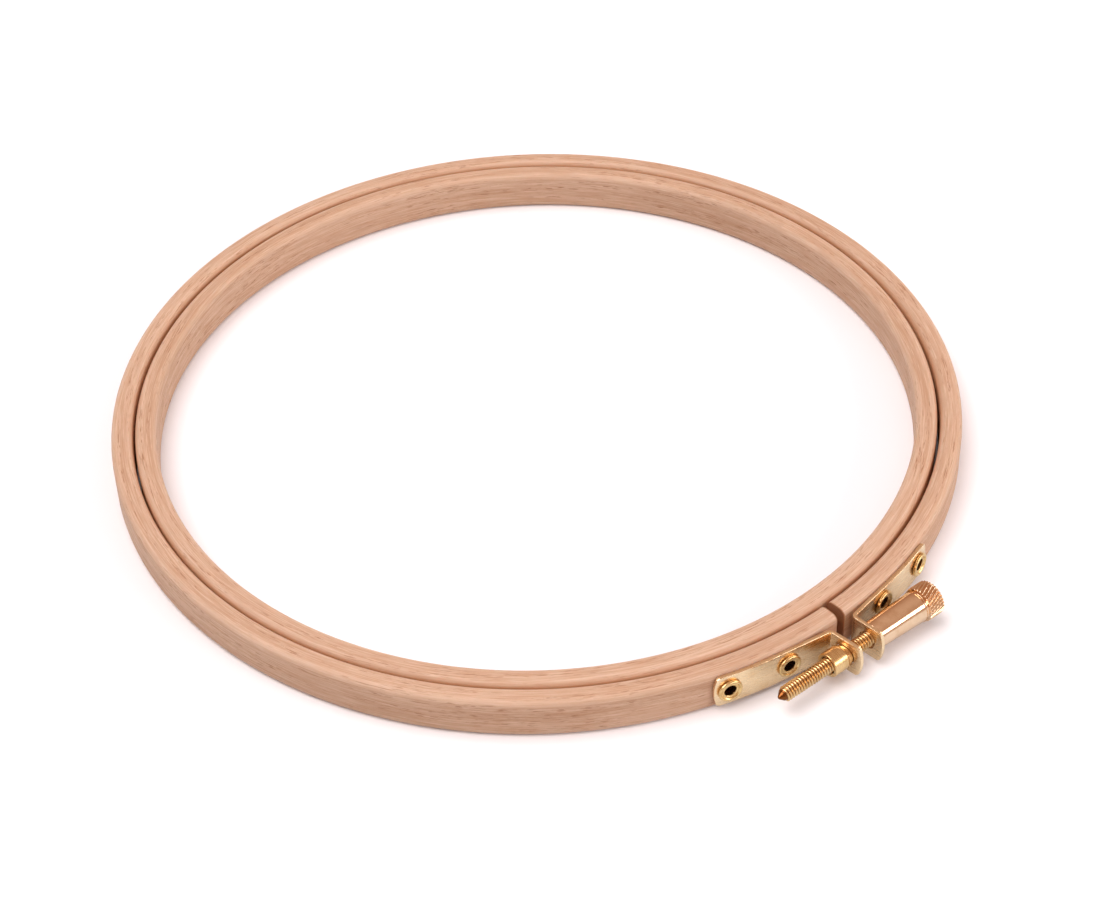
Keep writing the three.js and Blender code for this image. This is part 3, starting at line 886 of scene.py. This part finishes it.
plan = plans["right"]
lean = abs(plan["off_square"])
lug_face = plan["lug_middle"] + strip_thickness / 2 / math.cos(plan["off_square"])
head_start = lug_face + seat_gap + head_start_radius * math.tan(lean)
point = arc_points((0.0, -stud_reach + tip_radius), tip_radius, -90, -35, 6)
shoulder = -stud_reach + tip_length
thread_end = head_start + 1.0 * mm
thread_rows = round((thread_end - shoulder) / thread_pitch * rows_in_pitch)
cone_rows = 20
outline = [
    *point,
    *[
        (
            point[-1][0] + (thread_radius - point[-1][0]) * step / cone_rows,
            point[-1][1] + (shoulder - point[-1][1]) * step / cone_rows,
        )
        for step in range(1, cone_rows)
    ],
    *[
        (thread_radius, shoulder + (thread_end - shoulder) * step / thread_rows)
        for step in range(thread_rows + 1)
    ],
    (thread_radius, head_start + stud_in_head),
    (0.0, head_start + stud_in_head),
]
stud = turned(
    "threaded_stud", outline, turned_brass, Lead=thread_pitch, Depth=thread_depth,
    From=-stud_reach + 0.7 * mm, To=thread_end, Runout=1.0 * mm, Sharpness=0.02,
)
on_screw_axis(stud)
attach(stud, "screw")
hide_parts("screw_stud")


# Thumb head: turned brass, polished, of a rosier alloy. It swells towards a narrow neck, and
# ends in a knurled band with a low dome.
head_body_radius = 2.95 * mm
head_body_length = 10.9 * mm
head_bevel = 0.45 * mm
head_lip = 0.12 * mm  # rounding of the body's wide end
neck_radius = 2.62 * mm
neck_length = 0.65 * mm
neck_round = 0.1 * mm
neck_inset = 0.25 * mm  # from each end of the neck to where its rounding is centred
knurl_radius = 3.25 * mm
knurl_length = 3.0 * mm
knurl_depth = 0.34 * mm
knurl_flutes = 30
knurl_helix = math.radians(-22)
knurl_edge = 0.22 * mm
knurl_rows = 16
head_dome = 1.0 * mm
socket_radius = thread_radius + 0.15 * mm

polished_brass = brass(
    "polished_brass", (0.87, 0.63, 0.44), (0.72, 0.46, 0.28), 0.095, "lathe",
    (120, 120, 9000), 0.003 * mm,
)
body_end = head_start + head_body_length
knurl_start = body_end + neck_length
knurl_end = knurl_start + knurl_length
dome_radius = (knurl_radius ** 2 + head_dome ** 2) / (2 * head_dome)
dome_reach = math.degrees(math.asin((knurl_radius - knurl_edge) / dome_radius))
outline = [
    (0.0, head_start + stud_in_head + seat_gap),
    (socket_radius, head_start + stud_in_head + seat_gap),
    (socket_radius, head_start + 0.1 * mm),
    (socket_radius + 0.1 * mm, head_start),
    (head_start_radius - head_bevel, head_start),
    *arc_points((head_start_radius - head_bevel, head_start + head_bevel), head_bevel, -70, -5, 5),
    (head_body_radius - head_lip / 2, body_end - head_lip),
    *arc_points((head_body_radius - head_lip, body_end - head_lip), head_lip, 0, 80, 4),
    *arc_points((neck_radius + neck_round, body_end + neck_inset), neck_round, -100, -180, 3),
    *arc_points((neck_radius + neck_round, knurl_start - neck_inset), neck_round, 180, 100, 3),
    *arc_points((knurl_radius - knurl_edge, knurl_start + knurl_edge), knurl_edge, -90, 0, 5),
    *[
        (knurl_radius, knurl_start + knurl_edge + (knurl_length - knurl_edge) * step / knurl_rows)
        for step in range(1, knurl_rows)
    ],
    *arc_points((knurl_radius - knurl_edge, knurl_end), knurl_edge, 0, 90 - dome_reach, 5),
    *arc_points(
        (0.0, knurl_end + head_dome - dome_radius), dome_radius, 90 - dome_reach * 0.98, 90, 10,
    ),
]
thumb_head = turned(
    "thumb_head", outline, polished_brass, Steps=12 * knurl_flutes, Starts=knurl_flutes,
    Lead=2 * math.pi * knurl_radius / math.tan(knurl_helix) / knurl_flutes,
    Depth=knurl_depth, From=knurl_start - 0.05 * mm, To=knurl_end + 0.3 * mm,
    Runout=0.25 * mm, Sharpness=0.10,
)
on_screw_axis(thumb_head)
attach(thumb_head, "screw")
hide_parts("screw_head")
